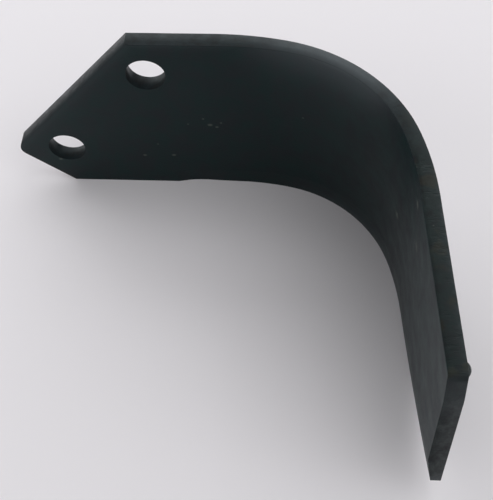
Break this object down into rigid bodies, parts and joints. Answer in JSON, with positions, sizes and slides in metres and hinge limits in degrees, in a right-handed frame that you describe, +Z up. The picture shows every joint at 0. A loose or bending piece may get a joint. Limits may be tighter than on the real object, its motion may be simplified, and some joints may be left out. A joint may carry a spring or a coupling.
{
  "type": "rotary tiller blade",
  "caption": "L-shaped rotary tiller blade: a flat steel bar with a slanted bolted end, a wide bend and a leg whose bevelled cutting edge rises to the tip.",
  "frame": {"origin": "middle of the blade's footprint, on the plane that its lower edge stands on", "axes": "+X along the tang, from the bolted end towards the bend; -Y the way the leg comes forward from the tang; +Z up, across the bar's width, from the cutting edge to the back edge"},
  "size_m": [0.1698, 0.1432, 0.08],
  "materials": {
    "paint": "black paint, semi-gloss"
  },
  "bodies": {
    "root": {"blade": "paint"}
  },
  "joints": []
}
